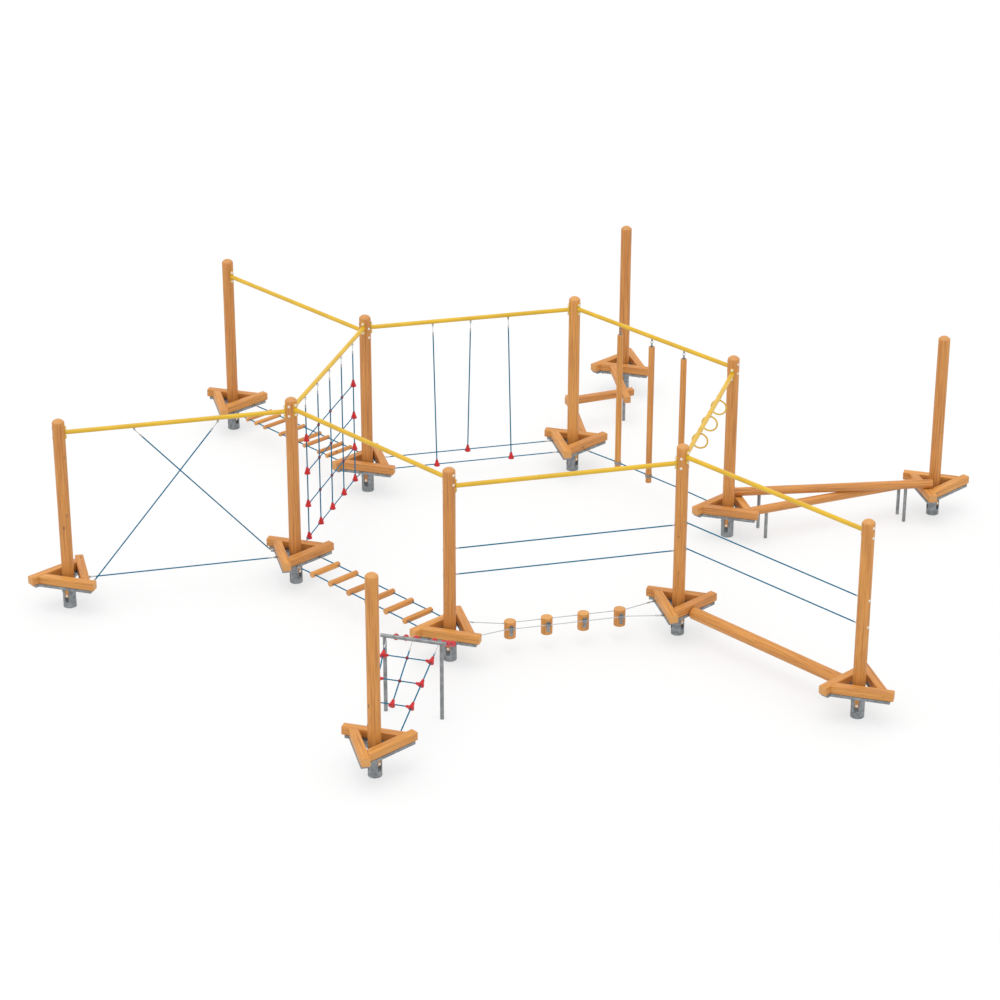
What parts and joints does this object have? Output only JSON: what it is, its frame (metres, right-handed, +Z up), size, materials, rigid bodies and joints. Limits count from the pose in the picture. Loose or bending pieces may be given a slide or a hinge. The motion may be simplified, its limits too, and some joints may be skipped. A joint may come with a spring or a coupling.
{
  "type": "monkey bars",
  "caption": "Playground climbing course on timber posts with overhead bars, nets, rope ladders, rings, hanging poles, swinging stumps and balance logs.",
  "frame": {"origin": "centre of the hexagon of posts, on the ground", "axes": "+X through posts 1 and 7, +Z up"},
  "size_m": [13.038, 11.3124, 2.66],
  "materials": {
    "timber": "honey-coloured oiled round timber",
    "yellow_steel": "satin yellow powder coat",
    "galvanised_steel": "matt hot-dip galvanised",
    "cap_plastic": "moulded ivory plastic",
    "blue_rope": "laid steel-cored polyester rope",
    "red_plastic": "moulded red polyamide",
    "steel_cable": "bright stranded cable"
  },
  "bodies": {
    "root": {"balance_beams": "timber", "bar_01_06": "yellow_steel", "bar_02_01": "yellow_steel", "bar_03_02": "yellow_steel", "bar_04_03": "yellow_steel", "bar_04_05": "yellow_steel", "bar_05_06": "yellow_steel", "bar_06_12": "yellow_steel", "bar_09_03": "yellow_steel", "bar_10_04": "yellow_steel", "bolt_caps": "cap_plastic", "climbing_net_ropes": "blue_rope", "crossed_logs": "timber", "deck_lugs": "galvanised_steel", "fixed_ropes": "blue_rope", "log_06_12": "timber", "low_net_frame": "galvanised_steel", "low_net_ropes": "blue_rope", "platform_trays": "galvanised_steel", "platforms_inner": "timber", "platforms_outer": "timber", "post_01": "timber", "post_02": "timber", "post_03": "timber", "post_04": "timber", "post_05": "timber", "post_06": "timber", "post_07": "timber", "post_08": "timber", "post_09": "timber", "post_10": "timber", "post_11": "timber", "post_12": "timber", "post_shoes": "galvanised_steel", "ring_eyes": "yellow_steel", "rope_fittings": "galvanised_steel", "rope_hangers": "galvanised_steel", "rope_joints": "red_plastic", "rope_tails": "blue_rope", "steel_legs": "galvanised_steel", "stump_cable_ends": "steel_cable", "through_bolts": "galvanised_steel", "tray_webs": "galvanised_steel"},
    "ring_1": {"ring_1": "yellow_steel"},
    "ring_2": {"ring_2": "yellow_steel"},
    "ring_3": {"ring_3": "yellow_steel"},
    "pole_row": {"pole_1": "timber", "pole_2": "timber", "pole_3": "timber", "pole_links": "galvanised_steel", "pole_clamps": "galvanised_steel", "pole_rope": "blue_rope"},
    "stump_row": {"stumps": "timber", "stump_straps": "galvanised_steel", "stump_cables": "steel_cable"},
    "ladder_near": {"ladder_near_rungs": "timber", "ladder_near_ropes": "blue_rope"},
    "ladder_far": {"ladder_far_rungs": "timber", "ladder_far_ropes": "blue_rope"}
  },
  "joints": [
    {"name": "ring_1_tilt", "type": "hinge", "parent": "root", "child": "ring_1", "pos_m": [2.56, -0.7621, 2.3745], "axis": [0.866, -0.5, 0], "range_deg": [-35, 35]},
    {"name": "ring_2_tilt", "type": "hinge", "parent": "root", "child": "ring_2", "pos_m": [2.285, -1.23842, 2.3745], "axis": [0.866, -0.5, 0], "range_deg": [-35, 35]},
    {"name": "ring_3_tilt", "type": "hinge", "parent": "root", "child": "ring_3", "pos_m": [2, -1.73205, 2.3745], "axis": [0.866, -0.5, 0], "range_deg": [-35, 35]},
    {"name": "pole_row_swing", "type": "hinge", "parent": "root", "child": "pole_row", "pos_m": [2.25, 1.29904, 2.436], "axis": [0.5, -0.866, 0], "range_deg": [-12, 12]},
    {"name": "stump_row_roll", "type": "hinge", "parent": "root", "child": "stump_row", "pos_m": [0, -2.59808, 0.385], "axis": [1, 0, 0], "range_deg": [-12, 12], "stiffness_Nm_per_rad": 60},
    {"name": "ladder_near_roll", "type": "hinge", "parent": "root", "child": "ladder_near", "pos_m": [-2.25, -1.29904, 0.39], "axis": [0.5, -0.866, 0], "range_deg": [-12, 12], "stiffness_Nm_per_rad": 60},
    {"name": "ladder_far_roll", "type": "hinge", "parent": "root", "child": "ladder_far", "pos_m": [-2.25, 3.89711, 0.39], "axis": [0.5, -0.866, 0], "range_deg": [-12, 12], "stiffness_Nm_per_rad": 60}
  ]
}
